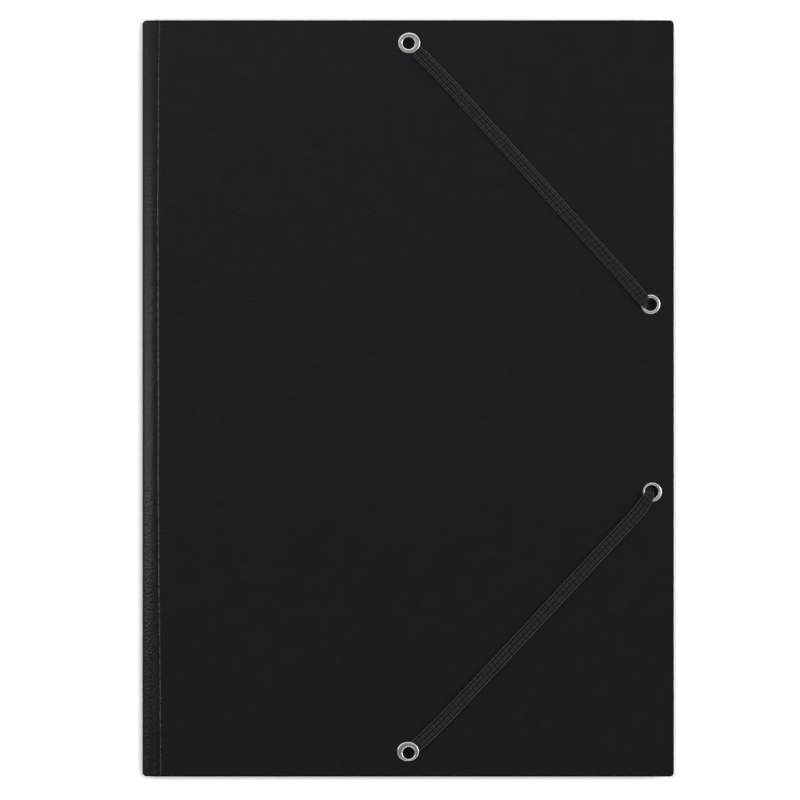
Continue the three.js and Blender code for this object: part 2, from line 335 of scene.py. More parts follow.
def principled(name: str) -> tuple[Material, Shader, Node]:
    """Starts a material with one Principled shader.

    Args:
        name: The material's name.

    Returns:
        The material, its helper and its Principled node.
    """
    material, shader, end = bare_material(name)
    surface = shader.add("ShaderNodeBsdfPrincipled")
    shader.wire(end, {"Surface": surface.outputs[0]})
    return material, shader, surface


@dataclass(frozen=True)
class BoardFinish:
    """Board dyed black right through, with a thick varnish on its faces."""

    name: str = "varnished_board"
    colour: Colour = (0.0129, 0.0129, 0.0131)
    cut_colour: Colour = (0.0025, 0.0025, 0.003)
    mottle_gain: float = 1.1
    mottle_scale: float = 160.0
    mottle_band: Band = (0.35, 0.7)
    roughness: float = 0.2
    rubbed_roughness: float = 0.32
    gloss: float = 0.5
    cut_gloss: float = 0.08
    peel_cell: float = 1050.0
    peel_depth: float = 0.11 * MM
    scuffs: float = 0.4
    bare_full: float = 0.27 * MM
    bare_end: float = 0.675 * MM

    def material(self, effects: Effects, half_x: float, half_y: float) -> Material:
        """Builds the material.

        Args:
            effects: The shared shader groups.
            half_x: Half the cover's width, where the fore-edge is cut.
            half_y: Half the cover's height.

        Returns:
            The material, on Object coordinates.
        """
        material, shader, surface = principled(self.name)
        place = shader.place()
        x, y, _ = shader.split(place)
        past_x = shader.math("SUBTRACT", x, half_x)
        past_y = shader.math("SUBTRACT", shader.math("ABSOLUTE", y), half_y)
        past = shader.math("MAXIMUM", past_x, past_y)
        bare = shader.ramp(past, -self.bare_end, -self.bare_full)
        mottle = shader.ramp(shader.noise(place, self.mottle_scale, 3.0), *self.mottle_band)
        face = shader.blend(mottle, rgba(self.colour), rgba(self.colour, self.mottle_gain))
        peel = shader.add(
            "ShaderNodeGroup",
            {"Vector": place, "Cell": self.peel_cell},
            node_tree=effects.orange_peel,
        )
        rubbed = shader.add(
            "ShaderNodeGroup", {"Vector": place, "Amount": self.scuffs}, node_tree=effects.handling
        )
        mask = rubbed.outputs["Mask"]
        shader.wire(surface, {
            "Base Color": shader.blend(bare, face, rgba(self.cut_colour)),
            "Roughness": shader.ramp(mask, 0.0, 1.0, self.roughness, self.rubbed_roughness),
            "Specular IOR Level": shader.ramp(bare, 0.0, 1.0, self.gloss, self.cut_gloss),
            "Normal": shader.bump(peel.outputs["Height"], self.peel_depth),
        })
        return material


@dataclass(frozen=True)
class NickelFinish:
    """Satin nickel plate on pressed sheet, slightly tarnished, with a fine grain."""

    name: str = "nickel_plate"
    colour: Colour = (0.88, 0.86, 0.82)
    tarnish: Colour = (0.70, 0.66, 0.58)
    tarnish_scale: float = 420.0
    tarnish_band: Band = (0.45, 0.75)
    metallic: float = 0.82
    roughness: float = 0.27
    tarnished_roughness: float = 0.39
    grain_scale: float = 2600.0
    grain_depth: float = 0.004 * MM

    def material(self, effects: Effects) -> Material:
        """Builds the material.

        Args:
            effects: The shared shader groups.

        Returns:
            The material, on Object coordinates.
        """
        material, shader, surface = principled(self.name)
        place = shader.place()
        patch = shader.ramp(shader.noise(place, self.tarnish_scale, 3.0, 0.6), *self.tarnish_band)
        worn = shader.add("ShaderNodeGroup", {"Vector": place}, node_tree=effects.handling)
        grain = shader.noise(place, self.grain_scale)
        height = shader.math("ADD", grain, worn.outputs["Mask"])
        shader.wire(surface, {
            "Base Color": shader.blend(patch, rgba(self.colour), rgba(self.tarnish)),
            "Metallic": self.metallic,
            "Roughness": shader.ramp(patch, 0.0, 1.0, self.roughness, self.tarnished_roughness),
            "Normal": shader.bump(height, self.grain_depth),
        })
        return material


@dataclass(frozen=True)
class ElasticFinish:
    """Black knitted elastic: ribs of fine loops, with a slight sheen on the yarn, painted shade in
    its grooves and a painted highlight on its edge ribs.
    """

    name: str = "ribbed_elastic"
    yarn: Colour = (0.0545, 0.0545, 0.0555)
    # Painted shade: the near-black colour that the grooves between the ribs are given.
    groove: Colour = (0.0008, 0.0008, 0.001)
    shine: float = 0.14
    roughness: float = 0.62
    sheen: float = 0.04
    sheen_roughness: float = 0.4
    # Painted highlight: the outer ribs are made this much lighter, over this band of the width.
    selvedge_highlight: float = 1.7
    selvedge_band: Band = (2.3 * MM, 2.45 * MM)
    loop_length: float = 0.62 * MM
    loop_weight: float = 0.3
    loop_stray: float = 5.0
    stray_scale: float = 700.0
    yarn_scale: float = 1900.0
    knit_band: Band = (0.1, 1.0)
    knit_least: float = 0.45
    knit_depth: float = 0.05 * MM

    def material(self) -> Material:
        """Builds the material on the band's own UV map: U along it and V across it, in metres.

        Returns:
            The material.
        """
        material, shader, surface = principled(self.name)
        place = shader.add("ShaderNodeUVMap", uv_map=ElasticBand.UV_NAME).outputs[0]
        along, across, _ = shader.split(place)
        named = shader.add("ShaderNodeAttribute", attribute_name=ElasticBand.RIB_NAME)
        rib = named.outputs["Fac"]
        turn = shader.math("MULTIPLY", along, 2 * math.pi / self.loop_length)
        stray = shader.math("MULTIPLY", shader.noise(place, self.stray_scale), self.loop_stray)
        loops = shader.math("SINE", shader.math("ADD", turn, stray))
        yarn = shader.noise(place, self.yarn_scale, 3.0, 0.65)
        knit = shader.math("ADD", shader.math("MULTIPLY", loops, self.loop_weight), yarn)
        tone = shader.ramp(knit, *self.knit_band, self.knit_least)
        # Painted shade: the yarn colour falls to the groove colour where the rib height sinks.
        lit = shader.math("MULTIPLY", tone, rib, clamp=True)
        # Painted highlight on the outer ribs.
        side = shader.ramp(shader.math("ABSOLUTE", across), *self.selvedge_band)
        ribs = shader.blend(side, rgba(self.yarn), rgba(self.yarn, self.selvedge_highlight))
        shader.wire(surface, {
            "Base Color": shader.blend(lit, rgba(self.groove), ribs),
            "Roughness": self.roughness,
            "Specular IOR Level": shader.math("MULTIPLY", rib, self.shine),
            "Sheen Weight": self.sheen,
            "Sheen Roughness": self.sheen_roughness,
            "Normal": shader.bump(knit, self.knit_depth),
        })
        return material


# Mesh building


def mesh_object(
    name: str, points: Iterable[Sequence[float]], faces: Iterable[Sequence[int]]
) -> Object:
    """Makes a mesh object at the origin and links it.

    Args:
        name: The object's name.
        points: Vertex places.
        faces: Vertex indices of each face.

    Returns:
        The object.
    """
    mesh = bpy.data.meshes.new(name)
    mesh.from_pydata([tuple(p) for p in points], [], [tuple(f) for f in faces])
    mesh.update()
    return linked(name, mesh)


def linked(name: str, data: bpy.types.ID) -> Object:
    """Puts a mesh, curve, light or camera into the scene.

    Args:
        name: The object's name.
        data: What it shows.

    Returns:
        The object.
    """
    obj = bpy.data.objects.new(name, data)
    bpy.context.scene.collection.objects.link(obj)
    return obj


def dress(obj: Object, material: Material, sharp_degrees: float = 20.0) -> None:
    """Gives an object its material and smooth faces with sharp edges kept.

    Args:
        obj: The object.
        material: Its material.
        sharp_degrees: Edges with a steeper turn stay sharp.
    """
    obj.data.materials.clear()
    obj.data.materials.append(material)
    obj.data.shade_smooth()
    obj.data.set_sharp_from_angle(angle=math.radians(sharp_degrees))


def skin_faces(rows: int, sides: int, joined: bool) -> list[tuple[int, ...]]:
    """Faces of a skin over rows of points, each row a closed ring.

    Args:
        rows: Number of rings.
        sides: Points in each ring.
        joined: Whether the last ring meets the first one. Otherwise both of them are capped.

    Returns:
        Quads, and any caps.
    """
    faces: list[tuple[int, ...]] = []
    for i in range(rows if joined else rows - 1):
        a, b = i * sides, (i + 1) % rows * sides
        faces += [(a + k, a + (k + 1) % sides, b + (k + 1) % sides, b + k) for k in range(sides)]
    if not joined:
        faces.append(tuple(reversed(range(sides))))
        faces.append(tuple(range((rows - 1) * sides, rows * sides)))
    return faces


def recalculate(obj: Object) -> None:
    """Merges doubles and turns every face outwards.

    Args:
        obj: A closed mesh.
    """
    shape = bmesh.new()
    shape.from_mesh(obj.data)
    bmesh.ops.remove_doubles(shape, verts=shape.verts, dist=1e-7)
    bmesh.ops.recalc_face_normals(shape, faces=shape.faces)
    shape.to_mesh(obj.data)
    shape.free()
    obj.data.update()


def arc(radius: float, start: float, end: float, steps: int, centre: Point = (0, 0)) -> list[Point]:
    """Points of an arc.

    Args:
        radius: Its radius.
        start: First angle in degrees.
        end: Last angle in degrees.
        steps: Number of chords.
        centre: Its centre.

    Returns:
        The points, both ends included.
    """
    turns = [math.radians(start + (end - start) * i / steps) for i in range(steps + 1)]
    return [(centre[0] + radius * math.cos(t), centre[1] + radius * math.sin(t)) for t in turns]


def rounded(corners: Sequence[tuple[float, float, float]], steps: int = 8) -> list[Point]:
    """A closed outline through corners that are each rounded by their own length.

    Args:
        corners: X, Y and rounding of each corner.
        steps: Chords in each rounding.

    Returns:
        The outline's points.
    """
    points: list[Point] = []
    for i, (x, y, size) in enumerate(corners):
        corner = Vector((x, y))
        before = (Vector(corners[i - 1][:2]) - corner).normalized() * size
        after = (Vector(corners[(i + 1) % len(corners)][:2]) - corner).normalized() * size
        for k in range(steps + 1):
            t = k / steps
            points.append(tuple(corner + before * (1 - t) ** 2 + after * t**2))
    return points


def clipped(outline: Sequence[Point], left: float) -> list[Point]:
    """An outline cut off along a line of constant X.

    Args:
        outline: The closed outline.
        left: The line's X. What lies left of it goes.

    Returns:
        The outline that is left.
    """
    kept: list[Point] = []
    for (x0, y0), (x1, y1) in zip(outline, [*outline[1:], outline[0]]):
        if x0 >= left:
            kept.append((x0, y0))
        if (x0 - left) * (x1 - left) < 0:
            share = (left - x0) / (x1 - x0)
            kept.append((left, y0 + share * (y1 - y0)))
    return kept


# The board


@dataclass
class Sheet:
    """The measures that both covers and the spine fold share, some of them read from the frame."""

    board: float = 0.5 * MM
    edge: float = 0.05 * MM
    corner: float = 2.0 * MM
    overhang: float = 1.5 * MM
    layer_gap: float = 0.4 * MM
    strip: float = 6.9 * MM
    score: float = 1.4 * MM
    score_depth: float = 0.15 * MM
    score_start: float = 0.1
    score_share: float = 0.62
    score_bow: float = 0.93 * MM
    bow_middle: float = 41 * MM
    bow_reach: float = 170 * MM
    score_strays: tuple[tuple[float, ...], ...] = ((0.10 * MM, 47.0, 0.8), (0.06 * MM, 113.0, 2.1))
    score_slack: float = 0.35 * MM
    fold_cut: float = 0.8 * MM
    wave: float = 0.05 * MM
    waves: tuple[tuple[float, ...], ...] = ((1.0, 21.0, 9.0, 0.4), (0.7, -31.0, 13.0, 1.9))
    strip_steps: int = 22
    score_steps: int = 44
    flat_steps: int = 40
    hinge: Vector = field(init=False)
    fore_x: float = field(init=False)
    spine_x: float = field(init=False)
    head_y: float = field(init=False)
    cover_top: float = field(init=False)

    def __post_init__(self) -> None:
        """Reads the cover's place and the hinge from the frame."""
        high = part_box("front_cover")[1]
        self.hinge = Vector(frame["joints"][0]["pos_m"])
        self.fore_x = high.x
        self.spine_x = -high.x
        self.head_y = high.y
        self.cover_top = high.z

    @property
    def rise(self) -> float:
        """Height from the fold line to the middle of the front cover's board."""
        return self.cover_top - self.board / 2 - self.hinge.z

    @property
    def span(self) -> float:
        """Width of the bowed strip, from the fold line to the score."""
        return self.spine_x + self.strip - self.score / 2 - self.hinge.x

    @property
    def cut(self) -> float:
        """Where the boards end beside the fold piece, as a distance from the fold line."""
        return self.fold_cut / math.hypot(self.span, 2 * self.rise) * self.span

    def middle(self, x: float) -> tuple[float, float]:
        """The middle of the front board over the fold line, in section.

        Args:
            x: A place across the cover.

        Returns:
            Its height over the fold line, and its slope.
        """
        t = (x - self.hinge.x) / self.span
        if t <= 1:
            return self.rise * (1 - (1 - t) ** 2), 2 * self.rise * (1 - t) / self.span
        u = (x - self.hinge.x - self.span) / self.score
        if u >= 1:
            return self.rise, 0.0
        turn = 2 * math.pi * clamp((u - self.score_start) / self.score_share)
        steep = math.pi * self.score_depth / (self.score * self.score_share)
        dip = self.score_depth * (1 - math.cos(turn)) / 2
        return self.rise - dip, -steep * math.sin(turn)

    def ripple(self, x: float, y: float) -> float:
        """The slight unevenness, at a place, of a board that has been handled."""
        return self.wave * sum(g * math.sin(a * x + b * y + c) for g, a, b, c in self.waves)

    def score_wander(self, y: float) -> float:
        """How far the pressed score strays from straight at a place along the spine."""
        bow = self.score_bow * ((y - self.bow_middle) / self.bow_reach) ** 2
        return bow + sum(size * math.sin(rate * y + c) for size, rate, c in self.score_strays)

    def stations(self) -> list[float]:
        """Places across the cover where the mesh needs an edge.

        Returns:
            Their X, from the spine to the fore-edge: fine over the score, wide over the flat.
        """
        end = self.hinge.x + self.span
        reach = self.score + self.score_bow + self.score_slack
        stops = (self.hinge.x + self.cut, end - self.score_slack, end - self.score_slack + reach)
        places: list[float] = []
        for low, high, steps in (
            (stops[0], stops[1], self.strip_steps),
            (stops[1], stops[2], self.score_steps),
            (stops[2], self.fore_x, self.flat_steps),
        ):
            places += [low + (high - low) * i / steps for i in range(1, steps + 1)]
        return places[:-1]


def blank(
    name: str,
    outlines: Sequence[Sequence[Point]],
    sheet: Sheet,
    cuts_x: Iterable[float],
    cuts_y: Iterable[float],
) -> bmesh.types.BMesh:
    """A flat board of the given outline and holes, with eased edges and extra edge lines.

    Args:
        name: A name for the passing curve.
        outlines: The outline and its holes.
        sheet: The board's thickness, and how far its edges are eased.
        cuts_x: Places of the edge lines along Y.
        cuts_y: Places of the edge lines along X.

    Returns:
        The board about Z = 0.
    """
    curve = bpy.data.curves.new(name, "CURVE")
    curve.dimensions = "2D"
    curve.fill_mode = "BOTH"
    for outline in outlines:
        spline = curve.splines.new("POLY")
        spline.points.add(len(outline) - 1)
        for point, (x, y) in zip(spline.points, outline):
            point.co = (x, y, 0.0, 1.0)
        spline.use_cyclic_u = True
    curve.extrude = sheet.board / 2 - sheet.edge
    curve.bevel_depth = sheet.edge
    curve.bevel_resolution = 1
    curve.offset = -sheet.edge
    holder = linked(name, curve)
    bpy.context.view_layer.update()
    graph = bpy.context.evaluated_depsgraph_get()
    flat = bpy.data.meshes.new_from_object(holder.evaluated_get(graph))
    bpy.data.objects.remove(holder)
    shape = bmesh.new()
    shape.from_mesh(flat)
    bpy.data.meshes.remove(flat)
    bmesh.ops.remove_doubles(shape, verts=shape.verts, dist=2e-6)
    bmesh.ops.dissolve_limit(
        shape, angle_limit=math.radians(0.5), verts=shape.verts[:], edges=shape.edges[:]
    )
    for direction, places in (((1, 0, 0), cuts_x), ((0, 1, 0), cuts_y)):
        for place in places:
            bmesh.ops.bisect_plane(
                shape,
                geom=shape.verts[:] + shape.edges[:] + shape.faces[:],
                dist=1e-7,
                plane_co=tuple(place * c for c in direction),
                plane_no=direction,
            )
    return shape


def from_shape(name: str, shape: bmesh.types.BMesh) -> Object:
    """Turns a finished shape into a linked object.

    Args:
        name: The object's name.
        shape: The shape, which is freed.

    Returns:
        The object.
    """
    bmesh.ops.recalc_face_normals(shape, faces=shape.faces)
    mesh = bpy.data.meshes.new(name)
    shape.to_mesh(mesh)
    shape.free()
    return linked(name, mesh)


@dataclass
class FrontCover:
    """The front cover with its half of the spine, four holes and the pressed score."""

    sheet: Sheet
    holes: Sequence[Point]
    hole_radius: float = 3.2 * MM
    hole_steps: int = 48
    rows: int = 64
    stray_full: float = 1.44
    stray_end: float = 3.04
    lift_start: float = 2.0
    lift_full: float = 6.0

    def outline(self) -> list[Point]:
        """The cover's outline, its spine side cut short for the fold piece.

        Returns:
            The outline's points.
        """
        s = self.sheet
        corners = [
            (s.spine_x, -s.head_y, s.corner),
            (s.fore_x, -s.head_y, s.corner),
            (s.fore_x, s.head_y, s.corner),
            (s.spine_x, s.head_y, s.corner),
        ]
        return clipped(rounded(corners), s.hinge.x + s.cut)

    def build(self, material: Material) -> Object:
        """Builds and dresses the cover.

        Args:
            material: The varnished board.

        Returns:
            The cover, riding on its body in place of the plain one.
        """
        s = self.sheet
        rings = [arc(self.hole_radius, 0, 360, self.hole_steps, hole)[:-1] for hole in self.holes]
        rows = [-s.head_y + 2 * s.head_y * i / self.rows for i in range(1, self.rows)]
        shape = blank("front_blank", [self.outline(), *rings], s, s.stations(), rows)
        for vertex in shape.verts:
            x, y, w = vertex.co
            height, slope = s.middle(x - self._stray(x, y))
            tilt = math.atan(slope)
            z = s.hinge.z + height + w * math.cos(tilt) + self._lift(x, y)
            vertex.co = Vector((x - w * math.sin(tilt), y, z))
        obj = from_shape("cover_board", shape)
        dress(obj, material)
        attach(obj, "cover")
        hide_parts("front_cover")
        return obj

    def _stray(self, x: float, y: float) -> float:
        """Sideways wander of the score, fading out towards the fold and the flat.

        Args:
            x: Place across the cover.
            y: Place along the spine.

        Returns:
            The distance by which the section is shifted.
        """
        s = self.sheet
        away = abs(x - s.hinge.x - s.span - s.score / 2) / s.score
        near = clamp((self.stray_end - away) / (self.stray_end - self.stray_full))
        return s.score_wander(y) * near

    def _lift(self, x: float, y: float) -> float:
        """Unevenness of the flat at a place, fading out at the spine."""
        inside = (x - self.sheet.spine_x) / self.sheet.strip - self.lift_start
        return self.sheet.ripple(x, y) * clamp(inside / (self.lift_full - self.lift_start))


@dataclass
class BackCover:
    """The back cover with its half of the spine and three flaps, drawn flat and then folded."""

    sheet: Sheet
    end_depth: float = 95 * MM
    end_spine_gap: float = 10 * MM
    end_fore_gap: float = 8 * MM
    side_depth: float = 120 * MM
    side_end_gap: float = 10 * MM
    taper: float = 8 * MM
    flap_corner: float = 9 * MM
    slit: float = 1.6 * MM
    slit_slack: float = 0.1 * MM
    nick: float = 0.4 * MM
    side_fold_steps: int = 14
    side_flap_steps: int = 12
    end_fold_steps: int = 12
    end_flap_steps: int = 9
    rows: int = 40

    @property
    def end_radius(self) -> float:
        """Middle radius of the folds at the head and the foot."""
        return (self.sheet.board + self.sheet.layer_gap) / 2

    @property
    def side_radius(self) -> float:
        """Middle radius of the fold at the fore-edge, round one more layer."""
        return self.sheet.board + self.sheet.layer_gap

    @property
    def end_bend(self) -> float:
        """Where the head's fold starts, along Y."""
        return self.sheet.head_y - self.sheet.overhang - self.sheet.board / 2 - self.end_radius

    @property
    def side_bend(self) -> float:
        """Where the fore-edge's fold starts, along X."""
        return self.sheet.fore_x - self.sheet.overhang - self.sheet.board / 2 - self.side_radius

    def net(self) -> list[Point]:
        """The outline of the unfolded sheet, up to the cut beside the spine fold.

        Returns:
            The outline's points.
        """
        s = self.sheet
        near = s.spine_x + self.end_spine_gap
        far = s.fore_x - self.end_fore_gap
        free_y = s.head_y - s.overhang - self.end_depth
        end = self.end_bend + math.pi * self.end_radius + (self.end_bend - free_y)
        free_x = s.fore_x - s.overhang - self.side_depth
        side = self.side_bend + math.pi * self.side_radius + (self.side_bend - free_x)
        half = s.head_y - self.side_end_gap
        upper = [
            (side, half - self.taper, self.flap_corner),
            (self.side_bend, half, self.nick),
            (self.side_bend, self.end_bend, s.corner),
            (far, self.end_bend, self.nick),
            (far - self.taper, end, self.flap_corner),
            (near + self.taper, end, self.flap_corner),
            (near, self.end_bend, self.nick),
            (near - self.slit, self.end_bend, self.nick),
            (near - self.slit, s.head_y, self.nick),
            (s.spine_x, s.head_y, s.corner),
        ]
        lower = [(x, -y, size) for x, y, size in reversed(upper)]
        return clipped(rounded([*lower, *upper]), s.hinge.x + s.cut)

    def build(self, material: Material) -> Object:
        """Builds and dresses the back cover.

        Args:
            material: The varnished board.

        Returns:
            The folded sheet, riding on its body in place of the plain one.
        """
        side_arc, end_arc = math.pi * self.side_radius, math.pi * self.end_radius
        steps = self.side_fold_steps
        fold_x = [self.side_bend + side_arc * i / steps for i in range(steps + 1)]
        steps = self.side_flap_steps
        flap_x = [fold_x[-1] + self.side_depth * i / steps for i in range(1, steps)]
        steps = self.end_fold_steps
        fold_y = [self.end_bend + end_arc * i / steps for i in range(steps + 1)]
        steps = self.end_flap_steps
        flap_y = [fold_y[-1] + self.end_depth * i / steps for i in range(1, steps + 1)]
        rows = [self.end_bend * (2 * i / self.rows - 1) for i in range(1, self.rows)]
        rows += [sign * y for y in fold_y + flap_y for sign in (1, -1)]
        flat = [x for x in self.sheet.stations() if x < self.side_bend]
        shape = blank("back_blank", [self.net()], self.sheet, flat + fold_x + flap_x, rows)
        for vertex in shape.verts:
            vertex.co = self.folded(*vertex.co)
        obj = from_shape("back_board", shape)
        dress(obj, material)
        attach(obj, "back")
        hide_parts("back_cover_with_flaps")
        return obj

    def folded(self, x: float, y: float, w: float) -> Vector:
        """Where a point of the flat net lies when the flaps are folded in.

        Args:
            x: Place across the net.
            y: Place along the net.
            w: Height over the middle of the board, towards the inside of the folder.

        Returns:
            The folded place.
        """
        s = self.sheet
        base = s.board / 2
        past_slit = s.spine_x + self.end_spine_gap - self.slit_slack
        if abs(y) > self.end_bend and x > past_slit:
            across, up = self._turned(abs(y) - self.end_bend, w, self.end_radius)
            return Vector((x, math.copysign(self.end_bend + across, y), base + up))
        if x > self.side_bend:
            across, up = self._turned(x - self.side_bend, w, self.side_radius)
            return Vector((self.side_bend + across, y, base + up))
        height, slope = s.middle(x)
        tilt = math.atan(slope)
        z = base + s.rise - height + w * math.cos(tilt)
        return Vector((x + w * math.sin(tilt), y, z))

    @staticmethod
    def _turned(past: float, w: float, radius: float) -> Point:
        """Folds a point over.

        Args:
            past: Its distance past the start of the fold, on the flat net.
            w: Its height over the middle of the board.
            radius: The fold's middle radius.

        Returns:
            Its distance past the start of the fold, and its height over the base.
        """
        turn = past / radius
        if turn < math.pi:
            return (radius - w) * math.sin(turn), radius - (radius - w) * math.cos(turn)
        return -(past - math.pi * radius), 2 * radius - w


@dataclass
class SpineFold:
    """The sharp fold that joins the two strips of the spine."""

    sheet: Sheet
    rows: int = 72
    strip_steps: int = 6
    round_steps: int = 7
    blend_half: float = 0.19 * MM

    def section(self) -> list[Point]:
        """The fold's section about the fold line, round outside and sharp inside.

        Returns:
            A closed loop of X and Z.
        """
        s = self.sheet
        half = s.board / 2
        outer: list[Point] = []
        inner: list[Point] = []
        for i in range(self.strip_steps + 1):
            x = s.cut * (1 - i / self.strip_steps)
            height, slope = s.middle(s.hinge.x + x)
            tilt = math.atan(slope)
            aside, up = half * math.sin(tilt), half * math.cos(tilt)
            outer.append((x - aside, height + up))
            if height > up:
                inner.append((x + aside, height - up))
        turn = math.degrees(math.atan2(outer[-1][1], outer[-1][0]))
        outer += arc(half, turn, 180, self.round_steps)[1:]
        lower = [(x, -z) for x, z in reversed(outer[:-1])]
        crease = inner[-1][0] + inner[-1][1] * s.span / (2 * s.rise)
        inside = [(x, -z) for x, z in inner] + [(crease, 0.0)] + inner[::-1]
        return outer + lower + inside

    def reach(self, x: float) -> float:
        """How far the board reaches along Y at a place across its rounded corner."""
        into = clamp((x - self.sheet.spine_x) / self.sheet.corner)
        return self.sheet.head_y - self.sheet.corner * (1 - math.sqrt(into)) ** 2

    def build(self, material: Material) -> Object:
        """Builds and dresses the fold.

        Args:
            material: The varnished board.

        Returns:
            The fold, bending between the back and the cover.
        """
        hinge = self.sheet.hinge
        section = self.section()
        points = []
        for i in range(self.rows + 1):
            share = 2 * i / self.rows - 1
            for x, z in section:
                points.append((hinge.x + x, share * self.reach(hinge.x + x), hinge.z + z))
        faces = skin_faces(self.rows + 1, len(section), False)
        obj = mesh_object("spine_fold", points, faces)
        recalculate(obj)
        dress(obj, material, 40.0)
        half = Vector((0, 0, self.blend_half))
        start, end = hinge - half, hinge + half
        tuple(start)
        tuple(end)
        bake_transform(obj)
        return obj


# Eyelets


@dataclass
class Eyelet:
    """A pressed eyelet set in the front cover."""

    name: str
    node: str
    centre: Point
    face: Face
    pull: Point = (0.0, 0.0)
    lean: Point = (0.0, 0.0)
    squash: Point = (1.0, 1.0)
    bore: float = 2.6 * MM
    wall: float = 0.3 * MM
    flange: float = 4.85 * MM
    roll: float = 4.08 * MM
    rim: float = 0.5 * MM
    rim_power: float = 0.8
    rim_steps: int = 22
    edge_in: float = 0.12 * MM
    edge_out: float = 0.02 * MM
    edge_rise: float = 0.05 * MM
    tilt: float = 0.65 * MM
    gap: float = 0.1 * MM
    face_slack: float = 0.06 * MM
    steps: int = 96

    def profile(self, board: float) -> list[Point]:
        """The eyelet's section from the outside of its bore round and back, as radius and height.

        Args:
            board: Thickness of the board that it grips.

        Returns:
            A closed loop of points, with height 0 on the board's outer face.
        """
        outer, inner = self.flange, self.roll
        if self.face is Face.ROLL_OUT:
            outer, inner = inner, outer
        barrel = self.bore + self.wall
        top = self._rim(outer, self.gap, 1)
        low = self._rim(inner, -board - self.gap, -1)
        start = [(barrel, -board / 2), (barrel, self.gap)]
        return [*start, *top, *reversed(low), (barrel, -board - self.gap)]

    def _rim(self, radius: float, start: float, way: int) -> list[Point]:
        """Half a rim's section, from its outer edge over the crest into the bore.

        Args:
            radius: Its outer radius.
            start: Height of its face on the board.
            way: 1 for the rim outside the cover and -1 for the one inside.

        Returns:
            Radius and height of its points.
        """
        middle, half = (radius + self.bore) / 2, (radius - self.bore) / 2
        points = [
            (radius - self.edge_in, start),
            (radius - self.edge_out, start + way * self.edge_rise),
        ]
        for i in range(2, self.rim_steps + 1):
            turn = math.pi * i / self.rim_steps
            crest = self.rim * math.sin(turn) ** self.rim_power
            points.append((middle + half * math.cos(turn), start + way * crest))
        return [*points, (self.bore, start - way * self.edge_rise)]

    def build(self, sheet: Sheet, material: Material) -> Object:
        """Builds and dresses the eyelet.

        Args:
            sheet: The board's measures.
            material: The nickel plate.

        Returns:
            The eyelet, riding with the cover.
        """
        loop = self.profile(sheet.board)
        points = []
        for i in range(self.steps):
            angle = 2 * math.pi * i / self.steps
            points += [self._placed(r, z, angle, sheet.cover_top) for r, z in loop]
        obj = mesh_object(self.name, points, skin_faces(self.steps, len(loop), True))
        recalculate(obj)
        dress(obj, material, 50.0)
        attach(obj, "cover")
        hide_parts(self.node)
        return obj

    def _placed(self, radius: float, height: float, angle: float, top: float) -> Vector:
        """A point of the turned section, its outer rim leaned and lifted over the elastic.

        Args:
            radius: Its radius.
            height: Its height over the board.
            angle: Its turn about the bore.
            top: Height of the board's outer face.

        Returns:
            Its place.
        """
        outside = height > -self.face_slack
        widest = self.flange if self.face is Face.FLANGE_OUT else self.roll
        share = (radius - self.bore) / (widest - self.bore) if outside else 0.0
        x = radius * math.cos(angle) * (1 + (self.squash[0] - 1) * share) + self.lean[0] * share
        y = radius * math.sin(angle) * (1 + (self.squash[1] - 1) * share) + self.lean[1] * share
        if outside and self.face is Face.FLANGE_OUT:
            along = (x * self.pull[0] + y * self.pull[1]) / self.flange
            height += self.tilt * clamp((1 + along) / 2)
        return Vector((self.centre[0] + x, self.centre[1] + y, top + height))


# Elastic


@dataclass(frozen=True)
class Station:
    """One place on the elastic's middle, in millimetres, with the band's size and turn there."""

    x: float
    y: float
    z: float
    width: float
    thickness: float
    turn: float
    other_face: float


